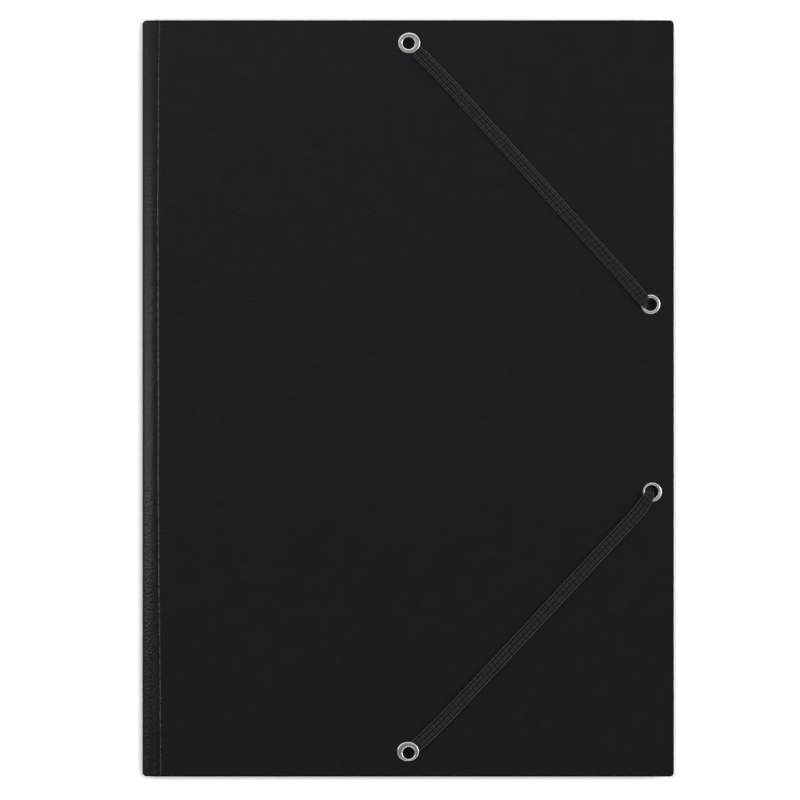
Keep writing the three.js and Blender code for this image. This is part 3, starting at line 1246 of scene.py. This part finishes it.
@dataclass
class ElasticBand:
    """The one flat elastic, with its ribs, from the top eyelet to the bottom one.

    Its places are given in millimetres, with Z over the cover. LEAVING gives distance
    from the end eyelet, Z, thickness and width. LAID gives shares of the way to the side eyelet.
    BEND gives X, Y and Z from the side eyelet, width, thickness and turn in degrees. DRIFT gives
    how far a run lies outside the line between its eyelets: at its start, the change, and the
    power of the share of the way with which it comes.
    """

    sheet: Sheet
    step: float = 0.5 * MM
    swing: float = 0.065

    UV_NAME = "band"
    RIB_NAME = "rib"
    END_EYELET = (0.3, 149.9)
    SIDE_EYELET = (102.9, 39.65)
    SET_OFF = {
        Side.UPPER: ((0.0, 0.4), (-0.3, 0.15)),
        Side.LOWER: ((0.0, 0.0), (0.2, 0.15)),
    }
    DRIFT = {Side.UPPER: (0.95, -1.65, 1.5), Side.LOWER: (1.3, 0.4, 0.5)}
    REST = (0.52, 0.9, 5.65)
    LEAVING = (
        (3.2, 0.26, 0.42, 5.2),
        (4.2, 0.32, 0.48, 5.4),
        (5.0, 0.38, 0.62, 5.5),
        (6.2, 0.48, 0.84, 5.6),
        (8.0, *REST),
    )
    LAID = (0.085, 0.12, 0.18, 0.28, 0.4, 0.55, 0.7, 0.82)
    BEND = {
        Side.UPPER: (
            (-7.14, 6.95, 0.54, 5.7, 0.9, 43),
            (-4.95, 4.35, 0.66, 5.7, 0.9, 43),
            (-3.80, 2.90, 0.98, 5.6, 0.9, 45),
            (-3.05, 1.85, 1.14, 5.3, 0.9, 51),
            (-2.35, 1.05, 1.08, 4.8, 0.9, 60),
            (-1.85, 0.52, 0.78, 4.3, 0.9, 68),
            (-1.66, 0.24, 0.30, 3.8, 0.9, 76),
            (-1.70, 0.05, -0.30, 3.3, 0.85, 78),
            (-1.72, -0.25, -0.90, 2.9, 0.8, 62),
            (-1.55, -1.10, -1.42, 2.9, 0.7, 25),
            (-1.15, -2.90, -1.58, 3.8, 0.66, 2),
            (-1.00, -5.20, -1.56, 5.0, 0.66, 0),
            (-0.60, -9.50, -1.50, 5.6, 0.75, 0),
            (-0.20, -24.0, -1.45, 5.6, 0.8, 0),
        ),
        Side.LOWER: (
            (-5.65, -8.42, 0.54, 5.6, 0.9, -43),
            (-3.65, -5.85, 0.66, 5.5, 0.9, -42),
            (-2.70, -4.30, 0.98, 5.2, 0.9, -40),
            (-2.02, -3.15, 1.14, 4.9, 0.9, -36),
            (-1.42, -2.05, 1.08, 4.5, 0.9, -28),
            (-1.05, -1.10, 0.80, 4.1, 0.95, -17),
            (-0.85, -0.30, 0.35, 3.8, 1.0, -8),
            (-0.75, 0.40, -0.20, 3.6, 1.05, -3),
            (-0.70, 1.05, -0.80, 3.3, 1.05, 0),
            (-0.70, 1.85, -1.30, 3.3, 0.85, 0),
            (-0.70, 3.00, -1.56, 3.8, 0.66, 0),
            (-0.65, 5.20, -1.56, 5.0, 0.66, 0),
            (-0.50, 9.50, -1.50, 5.6, 0.75, 0),
            (-0.20, 24.0, -1.45, 5.6, 0.8, 0),
        ),
    }

    def ends(self, side: Side) -> list[Point]:
        """Centres of the end eyelet and the side eyelet of one half, as they were set.

        Args:
            side: Upper or lower half.

        Returns:
            The two centres, in millimetres.
        """
        pairs = zip((self.END_EYELET, self.SIDE_EYELET), self.SET_OFF[side])
        return [(x + off_x, side.value * y + off_y) for (x, y), (off_x, off_y) in pairs]

    def drift(self, side: Side, share: float) -> float:
        """How far a run lies outside the line between its eyelets.

        Args:
            side: Upper or lower half.
            share: Share of the way from the end eyelet to the side eyelet.

        Returns:
            The distance in millimetres, which starts at 0 where the end is clamped.
        """
        start, change, power = self.DRIFT[side]
        settled = share**2 / (share**2 + self.swing**2)
        return (start + change * share**power) * settled

    def half(self, side: Side) -> list[Station]:
        """One half of the route, from under the flange to the middle of the run inside the cover.

        Args:
            side: Upper or lower half.

        Returns:
            Its stations.
        """
        first, last = self.ends(side)
        start, end = Vector(first), Vector(last)
        along = (end - start).normalized()
        length = (end - start).length
        out = Vector((-along.y, along.x)) * side.value
        turn = math.degrees(math.atan2(out.y, out.x))
        other = 0.0 if side is Side.UPPER else 1.0
        stations = []
        laid = [(length * share, *self.REST) for share in self.LAID]
        for distance, z, thickness, width in (*self.LEAVING, *laid):
            spot = start + along * distance + out * self.drift(side, distance / length)
            stations.append(Station(spot.x, spot.y, z, width, thickness, turn, other))
        for x, y, *rest in self.BEND[side]:
            stations.append(Station(end.x + x, end.y + y, *rest, other))
        return stations

    def path(self) -> np.ndarray:
        """The whole route, finely and evenly resampled.

        Returns:
            Rows of x, y, z, width, thickness, turn and face, in millimetres and degrees.
        """
        stations = self.half(Side.UPPER) + list(reversed(self.half(Side.LOWER)))
        table = np.array(
            [(s.x, s.y, s.z, s.width, s.thickness, s.turn, s.other_face) for s in stations]
        )
        dense = [table[0]]
        last = len(table) - 1
        for i in range(last):
            p0, p1, p2, p3 = (table[min(max(i + k, 0), last)] for k in (-1, 0, 1, 2))
            span = np.linalg.norm(p2[:3] - p1[:3])
            before = max(np.linalg.norm(p1[:3] - p0[:3]), 1e-6)
            after = max(np.linalg.norm(p3[:3] - p2[:3]), 1e-6)
            m1 = ((p1 - p0) / before + (p2 - p1) / span) / 2 * span if i else p2 - p1
            m2 = ((p2 - p1) / span + (p3 - p2) / after) / 2 * span if i < last - 1 else p2 - p1
            for t in np.linspace(0, 1, max(2, int(span / 0.1) + 1))[1:]:
                dense.append(
                    (2 * t**3 - 3 * t**2 + 1) * p1
                    + (t**3 - 2 * t**2 + t) * m1
                    + (-2 * t**3 + 3 * t**2) * p2
                    + (t**3 - t**2) * m2
                )
        rows = np.array(dense)
        lengths = np.r_[0, np.cumsum(np.linalg.norm(np.diff(rows[:, :3], axis=0), axis=1))]
        even = np.arange(0, lengths[-1], self.step / MM)
        return np.column_stack([np.interp(even, lengths, column) for column in rows.T])

    def route(self) -> Object:
        """The route as a chain of points that carry the band's size and directions.

        Returns:
            A passing object, for the sweep.
        """
        rows = self.path()
        centres = rows[:, :3] * MM
        centres[:, 2] += self.sheet.cover_top
        tangents = np.gradient(centres, axis=0)
        tangents /= np.linalg.norm(tangents, axis=1)[:, None]
        turns = np.radians(rows[:, 5])
        across = np.column_stack([np.cos(turns), np.sin(turns), np.zeros(len(rows))])
        across -= tangents * np.sum(across * tangents, axis=1)[:, None]
        across /= np.linalg.norm(across, axis=1)[:, None]
        mesh = bpy.data.meshes.new("band_route")
        links = [(i, i + 1) for i in range(len(rows) - 1)]
        mesh.from_pydata(centres.tolist(), links, [])
        for name, values in (("across", across), ("up", np.cross(tangents, across))):
            attribute = mesh.attributes.new(name, "FLOAT_VECTOR", "POINT")
            attribute.data.foreach_set("vector", values.ravel())
        for name, values in (
            ("half_width", rows[:, 3] * MM / 2),
            ("half_thickness", rows[:, 4] * MM / 2),
            ("other_face", rows[:, 6]),
        ):
            attribute = mesh.attributes.new(name, "FLOAT", "POINT")
            attribute.data.foreach_set("value", values)
        return linked("ribbed_band", mesh)

    def build(self, material: Material) -> Object:
        """Builds and dresses the elastic.

        Args:
            material: The ribbed elastic.

        Returns:
            The band, riding with the cover in place of the plain one.
        """
        obj = self.route()
        RibbedSweep(self.step, self.UV_NAME, self.RIB_NAME).apply(obj, material)
        recalculate(obj)
        dress(obj, material, 70.0)
        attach(obj, "cover")
        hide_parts("elastic_band")
        return obj


@dataclass(frozen=True)
class RibbedSweep:
    """Geometry Nodes that sweep a ribbed flat section along a route.

    The section is a ring of points. Each knows its place over the width, from -1 to 1, and its
    face, and is moved from there.
    """

    step: float
    uv_name: str
    rib_name: str
    sides: int = 96
    ribs: int = 6
    groove_depth: float = 0.28 * MM
    deep_band: Band = (0.04, 0.46)
    shallow_band: Band = (0.02, 0.34)
    shallow: float = 0.85
    selvedge_band: Band = (0.9, 0.97)
    roundness: float = 5.0
    sway: float = 0.06 * MM
    sway_scale: float = 160.0
    seed: int = 3

    INPUTS = {
        "Geometry": "NodeSocketGeometry",
        "Sides": "NodeSocketInt",
        "Ribs": "NodeSocketInt",
        "Groove Depth": "NodeSocketFloat",
        "Step": "NodeSocketFloat",
        "Seed": "NodeSocketFloat",
        "Material": "NodeSocketMaterial",
    }

    def apply(self, obj: Object, material: Material) -> None:
        """Runs the tree on a route and keeps the result as a plain mesh.

        Args:
            obj: The route, which becomes the band.
            material: Its material.
        """
        tree = self.tree()
        modifier = obj.modifiers.new("ribbed_sweep", "NODES")
        modifier.node_group = tree
        values = {
            "Sides": self.sides,
            "Ribs": self.ribs,
            "Groove Depth": self.groove_depth,
            "Step": self.step,
            "Seed": float(self.seed),
            "Material": material,
        }
        for item in tree.interface.items_tree:
            if item.in_out == "INPUT" and item.name in values:
                modifier[item.identifier] = values[item.name]
        graph = bpy.context.evaluated_depsgraph_get()
        graph.update()
        swept = bpy.data.meshes.new_from_object(obj.evaluated_get(graph))
        obj.modifiers.clear()
        obj.data = swept

    def tree(self) -> NodeTree:
        """Builds the tree with named inputs.

        Returns:
            The tree.
        """
        tree = bpy.data.node_groups.new("ribbed_sweep", "GeometryNodeTree")
        for label, kind in self.INPUTS.items():
            tree.interface.new_socket(label, in_out="INPUT", socket_type=kind)
        tree.interface.new_socket("Geometry", in_out="OUTPUT", socket_type="NodeSocketGeometry")
        nodes = Shader(tree)
        source = nodes.add("NodeGroupInput")
        given = {name: source.outputs[name] for name in self.INPUTS}
        row, turn = self._address(nodes, given)
        fold = nodes.math("ABSOLUTE", nodes.math("SUBTRACT", turn, 0.5))
        across = nodes.math("SUBTRACT", 1.0, nodes.math("MULTIPLY", 4.0, fold))
        side = nodes.math("SIGN", nodes.math("SUBTRACT", 0.5, turn))
        rib = self._ribs(nodes, given, across, self._sampled(nodes, given, "other_face", row))
        place = self._place(nodes, given, row, across, side, rib)
        feeds = {"Geometry": self._tube(nodes, given), "Position": place}
        band = nodes.add("GeometryNodeSetPosition", feeds).outputs[0]
        length = nodes.math("MULTIPLY", row, given["Step"])
        width = self._sampled(nodes, given, "half_width", row)
        aside = nodes.math("MULTIPLY", across, width)
        spot = nodes.add("ShaderNodeCombineXYZ", {0: length, 1: aside})
        # The rib height is stored for the finish, which paints shade into the grooves by it.
        for name, kind, domain, value in (
            (self.rib_name, "FLOAT", "POINT", rib),
            (self.uv_name, "FLOAT2", "CORNER", spot.outputs[0]),
        ):
            feeds = {"Geometry": band, "Name": name, "Value": value}
            kept = nodes.add(
                "GeometryNodeStoreNamedAttribute", feeds, data_type=kind, domain=domain
            )
            band = kept.outputs[0]
        real = nodes.add("GeometryNodeRealizeInstances", {0: band}).outputs[0]
        feeds = {"Geometry": real, "Material": given["Material"]}
        painted = nodes.add("GeometryNodeSetMaterial", feeds).outputs[0]
        nodes.add("NodeGroupOutput", {0: painted})
        return tree

    @staticmethod
    def _tube(nodes: Shader, given: dict[str, Socket]) -> Socket:
        """A closed tube with one ring of points for each point of the route.

        Args:
            nodes: The tree's helper.
            given: The tree's inputs.

        Returns:
            The tube.
        """
        line = nodes.add("GeometryNodeMeshToCurve", {0: given["Geometry"]}).outputs[0]
        ring = nodes.add("GeometryNodeCurvePrimitiveCircle", {"Resolution": given["Sides"]})
        feeds = {"Curve": line, "Profile Curve": ring.outputs[0], "Fill Caps": True}
        return nodes.add("GeometryNodeCurveToMesh", feeds).outputs[0]

    @staticmethod
    def _address(nodes: Shader, given: dict[str, Socket]) -> tuple[Socket, Socket]:
        """Where a point of the tube belongs.

        Args:
            nodes: The tree's helper.
            given: The tree's inputs.

        Returns:
            Its row along the route, and its share of the way round the section.
        """
        index = nodes.add("GeometryNodeInputIndex").outputs[0]
        safe = 0.0001
        share = nodes.math("ADD", nodes.math("DIVIDE", index, given["Sides"]), safe)
        return nodes.math("FLOOR", share), nodes.math("FRACT", share)

    @staticmethod
    def _sampled(nodes: Shader, given: dict[str, Socket], name: str, row: Socket) -> Socket:
        """A value that the route carries.

        Args:
            nodes: The tree's helper.
            given: The tree's inputs.
            name: The attribute's name.
            row: The route's point.

        Returns:
            The value.
        """
        kind = "FLOAT_VECTOR" if name in ("across", "up", "position") else "FLOAT"
        read = nodes.add("GeometryNodeInputNamedAttribute", {"Name": name}, data_type=kind)
        feeds = {"Geometry": given["Geometry"], "Value": read.outputs["Attribute"], "Index": row}
        pick = nodes.add("GeometryNodeSampleIndex", feeds, data_type=kind, domain="POINT")
        return pick.outputs[0]

    def _ribs(
        self, nodes: Shader, given: dict[str, Socket], across: Socket, other: Socket
    ) -> Socket:
        """Height of the ribs: 0 in a deep groove and 1 on a rib.

        Args:
            nodes: The tree's helper.
            given: The tree's inputs.
            across: Place over the width, from -1 to 1.
            other: 0 on one face of the elastic, where the deep grooves part ribs 2 and 3, and 4
                and 5, and 1 on the other face, where they part 1 and 2, 3 and 4, and 5 and 6.

        Returns:
            The height.
        """
        half = nodes.math("MULTIPLY", nodes.math("ADD", across, 1.0), 0.5)
        phase = nodes.math("MULTIPLY", half, given["Ribs"])
        groove = nodes.math("ROUND", phase)
        near = nodes.math("ABSOLUTE", nodes.math("SUBTRACT", phase, groove))
        odd = nodes.math("MODULO", groove, 2.0)
        unlike = nodes.math("ABSOLUTE", nodes.math("SUBTRACT", odd, other))
        deep = nodes.ramp(near, *self.deep_band, 1.0, 0.0)
        dent = nodes.ramp(near, *self.shallow_band, self.shallow, 0.0)
        parted = nodes.math("MULTIPLY", deep, nodes.math("SUBTRACT", 1.0, unlike))
        sunk = nodes.math("ADD", parted, nodes.math("MULTIPLY", dent, unlike))
        edge = nodes.ramp(nodes.math("ABSOLUTE", across), *self.selvedge_band, 1.0, 0.0)
        return nodes.math("SUBTRACT", 1.0, nodes.math("MULTIPLY", sunk, edge), clamp=True)

    def _place(
        self,
        nodes: Shader,
        given: dict[str, Socket],
        row: Socket,
        across: Socket,
        side: Socket,
        rib: Socket,
    ) -> Socket:
        """Where a point of the section lies.

        Args:
            nodes: The tree's helper.
            given: The tree's inputs.
            row: The route's point.
            across: Place over the width, from -1 to 1.
            side: 1 on the upper face and -1 on the lower one.
            rib: Height of the ribs there.

        Returns:
            The place.
        """
        flat = nodes.math("POWER", nodes.math("ABSOLUTE", across), self.roundness)
        round_off = nodes.math("SQRT", nodes.math("SUBTRACT", 1.0, flat, clamp=True))
        thick = self._sampled(nodes, given, "half_thickness", row)
        full = nodes.math("MULTIPLY", thick, round_off)
        sunk = nodes.math("MULTIPLY", nodes.math("SUBTRACT", 1.0, rib), given["Groove Depth"])
        lift = nodes.math("MAXIMUM", nodes.math("SUBTRACT", full, sunk), 0.0)
        length = nodes.math("MULTIPLY", row, given["Step"])
        wander = nodes.add("ShaderNodeCombineXYZ", {0: length, 1: given["Seed"]}).outputs[0]
        drift = nodes.math("SUBTRACT", nodes.noise(wander, self.sway_scale), 0.5)
        width = self._sampled(nodes, given, "half_width", row)
        aside = nodes.math("MULTIPLY", across, width)
        aside = nodes.math("ADD", aside, nodes.math("MULTIPLY", drift, self.sway))
        spot = self._sampled(nodes, given, "position", row)
        for name, amount in (("across", aside), ("up", nodes.math("MULTIPLY", side, lift))):
            way = self._sampled(nodes, given, name, row)
            feeds = {0: way, "Scale": amount}
            scaled = nodes.add("ShaderNodeVectorMath", feeds, operation="SCALE").outputs[0]
            feeds = {0: spot, 1: scaled}
            spot = nodes.add("ShaderNodeVectorMath", feeds, operation="ADD").outputs[0]
        return spot


# Studio


@dataclass(frozen=True)
class Softbox:
    """A rectangular softbox that faces the folder."""

    name: str
    place: tuple[float, float, float]
    size: Point
    power: float

    def build(self) -> None:
        """Builds the light."""
        data = bpy.data.lights.new(self.name, "AREA")
        data.shape = "RECTANGLE"
        data.size, data.size_y = self.size
        data.energy = self.power
        light = linked(self.name, data)
        light.location = self.place
        light.rotation_euler = (-Vector(self.place)).to_track_quat("-Z", "Y").to_euler()


@dataclass
class Studio:
    """A white table, two softboxes, a soft surround and the camera straight above.

    The bands of the surround are ranges of a direction's X, Y or Z.
    """

    folder_half: Point
    camera_height: float = 1.35
    frame_width: float = 338.45 * MM
    look_at: Point = (-3.34 * MM, -0.66 * MM)
    floor_size: float = 6.0
    floor_white: float = 0.88
    floor_seen: float = 1.42
    # Glow that the camera sees on the table: kept low near the folder's outline as a painted shadow,
    # higher further out.
    painted_shadow_glow: float = 0.13
    painted_shadow_glow_right: float = 0.02
    glow_far: float = 0.6
    painted_shadow_reach: float = 4.0 * MM
    zenith: float = 0.04
    surround: float = 1.45
    low_band: Band = (0.80, 0.40)
    left_dim: float = 0.96
    left_band: Band = (-0.75, -0.2)
    beside_band: Band = (0.14, 0.42)
    foot_share: float = 0.55
    corner_band: Band = (-0.25, 0.75)
    corner_glow: float = 0.42
    head_band: Band = (-0.13, 0.12)
    head_least: float = 0.15
    softboxes: tuple[Softbox, ...] = (
        Softbox("softbox_left", (-0.80, 0.0, 0.64), (0.21, 0.62), 0.62),
        Softbox("softbox_right", (1.15, 0.10, 0.66), (0.8, 0.8), 8.0),
    )

    def build(self, cover_top: float) -> None:
        """Builds the camera, the floor and the lights.

        Args:
            cover_top: Height of the cover, where the photograph's scale holds.
        """
        self._camera(cover_top)
        self._floor()
        self._world()
        for softbox in self.softboxes:
            softbox.build()

    def _camera(self, cover_top: float) -> None:
        """Builds the camera, framing the photograph's width at the cover.

        Args:
            cover_top: Height of the cover.
        """
        data = bpy.data.cameras.new("camera")
        data.sensor_fit = "HORIZONTAL"
        data.angle = 2 * math.atan(self.frame_width / 2 / self.camera_height)
        data.clip_start, data.clip_end = 0.01, 20.0
        camera = linked("camera", data)
        camera.location = (*self.look_at, cover_top + self.camera_height)
        bpy.context.scene.camera = camera

    def _floor(self) -> None:
        """Builds a table whose own colour gives the background, with the folder's shadow on it and a
        painted shadow round the outline.
        """
        half = self.floor_size / 2
        corners = [(-half, -half, 0), (half, -half, 0), (half, half, 0), (-half, half, 0)]
        floor = mesh_object("table", corners, [(0, 1, 2, 3)])
        material, shader, end = bare_material("white_table")
        seen = shader.add("ShaderNodeLightPath").outputs["Is Camera Ray"]
        plain, bright = (rgba((v, v, v)) for v in (self.floor_white, self.floor_seen))
        paper = shader.add("ShaderNodeBsdfDiffuse", {"Color": shader.blend(seen, plain, bright)})
        x, y, _ = shader.split(shader.place())
        half_x, half_y = self.folder_half
        past_x = shader.math("SUBTRACT", shader.math("ABSOLUTE", x), half_x)
        past_y = shader.math("SUBTRACT", shader.math("ABSOLUTE", y), half_y)
        past = shader.math("MAXIMUM", past_x, past_y)
        # Painted shadow: the camera's glow drops near the folder's outline, lowest along the right
        # side.
        near = shader.ramp(x, half_x - self.painted_shadow_reach, half_x, self.painted_shadow_glow, self.painted_shadow_glow_right)
        level = shader.ramp(past, 0.0, self.painted_shadow_reach, near, self.glow_far)
        strength = shader.math("MULTIPLY", level, seen)
        glow = shader.add("ShaderNodeEmission", {"Strength": strength})
        both = shader.add("ShaderNodeAddShader", {0: paper.outputs[0], 1: glow.outputs[0]})
        shader.wire(end, {"Surface": both.outputs[0]})
        floor.data.materials.append(material)
        floor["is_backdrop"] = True

    def _world(self) -> None:
        """Builds a surround: dim overhead, bright low down, lighter towards the upper left."""
        world = bpy.data.worlds.new("surround")
        world.use_nodes = True
        world.node_tree.nodes.clear()
        shader = Shader(world.node_tree)
        x, y, z = shader.split(shader.add("ShaderNodeTexCoord").outputs["Generated"])
        low = shader.ramp(z, *self.low_band)
        beside = shader.math("MAXIMUM", y, shader.math("MULTIPLY", y, -self.foot_share))
        wedge = shader.ramp(beside, *self.beside_band, self.left_dim, 0.0)
        left = shader.ramp(x, *self.left_band, 1.0, 0.0)
        lit = shader.math("SUBTRACT", 1.0, shader.math("MULTIPLY", wedge, left))
        rise = shader.math("MULTIPLY", shader.math("MULTIPLY", low, lit), self.surround)
        past = shader.math("SUBTRACT", y, x)
        corner = shader.ramp(past, *self.corner_band, 0.0, self.corner_glow)
        glow = shader.math("MULTIPLY", corner, shader.ramp(y, *self.head_band, self.head_least))
        strength = shader.math("ADD", shader.math("ADD", rise, glow), self.zenith)
        back = shader.add("ShaderNodeBackground", {"Strength": strength})
        shader.add("ShaderNodeOutputWorld", {"Surface": back.outputs[0]})
        bpy.context.scene.world = world


@dataclass
class Folder:
    """The whole folder."""

    sheet: Sheet = field(default_factory=Sheet)
    effects: Effects = field(default_factory=Effects)

    def eyelets(self) -> list[Eyelet]:
        """The four eyelets, each as it was set.

        Returns:
            The top, bottom, upper right and lower right one.
        """
        band = ElasticBand(self.sheet)
        halves = [band.ends(side) for side in (Side.UPPER, Side.LOWER)]
        pulls = [tuple((Vector(side) - Vector(end)).normalized()) for end, side in halves]
        (top, upper), (bottom, lower) = (
            [(x * MM, y * MM) for x, y in centres] for centres in halves
        )
        return [
            Eyelet(
                "eyelet_top", "top_eyelet", top, Face.FLANGE_OUT,
                pull=pulls[0], lean=(0.23 * MM, 0.07 * MM), squash=(0.96, 0.89),
            ),
            Eyelet(
                "eyelet_bottom", "bottom_eyelet", bottom, Face.FLANGE_OUT,
                pull=pulls[1], lean=(-0.27 * MM, 0.59 * MM), squash=(0.96, 0.84),
            ),
            Eyelet(
                "eyelet_upper_right", "upper_right_eyelet", upper, Face.ROLL_OUT,
                lean=(0.1 * MM, 0.0), bore=2.8 * MM, wall=0.2 * MM,
            ),
            Eyelet(
                "eyelet_lower_right", "lower_right_eyelet", lower, Face.ROLL_OUT,
                lean=(0.3 * MM, -0.1 * MM), bore=2.85 * MM, wall=0.2 * MM, roll=4.0 * MM,
            ),
        ]

    def pieces(self) -> Iterator[Object]:
        """Builds every piece, one after the other.

        Returns:
            Each finished piece.
        """
        varnish = BoardFinish().material(self.effects, self.sheet.fore_x, self.sheet.head_y)
        nickel = NickelFinish().material(self.effects)
        eyelets = self.eyelets()
        yield FrontCover(self.sheet, [eyelet.centre for eyelet in eyelets]).build(varnish)
        yield BackCover(self.sheet).build(varnish)
        yield SpineFold(self.sheet).build(varnish)
        for eyelet in eyelets:
            yield eyelet.build(self.sheet, nickel)
        yield ElasticBand(self.sheet).build(ElasticFinish().material())


def keep_size() -> None:
    """Puts the boxes of the solids and of the finished folder side by side, as plain lists."""
    boxes = {"cad": CAD_BOX, "visual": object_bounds()}
    plain = {name: [[float(v) for v in corner] for corner in box] for name, box in boxes.items()}


def main() -> None:
    """Builds the studio and the folder, and reports each piece."""
    logging.basicConfig(level=logging.INFO)
    bpy.context.scene.view_settings.view_transform = "Standard"
    folder = Folder()
    Studio((folder.sheet.fore_x, folder.sheet.head_y)).build(folder.sheet.cover_top)
    for piece in folder.pieces():
        LOG.info("%s: %d faces", piece.name, len(piece.data.polygons))
    keep_size()


if __name__ == "__main__":
    main()
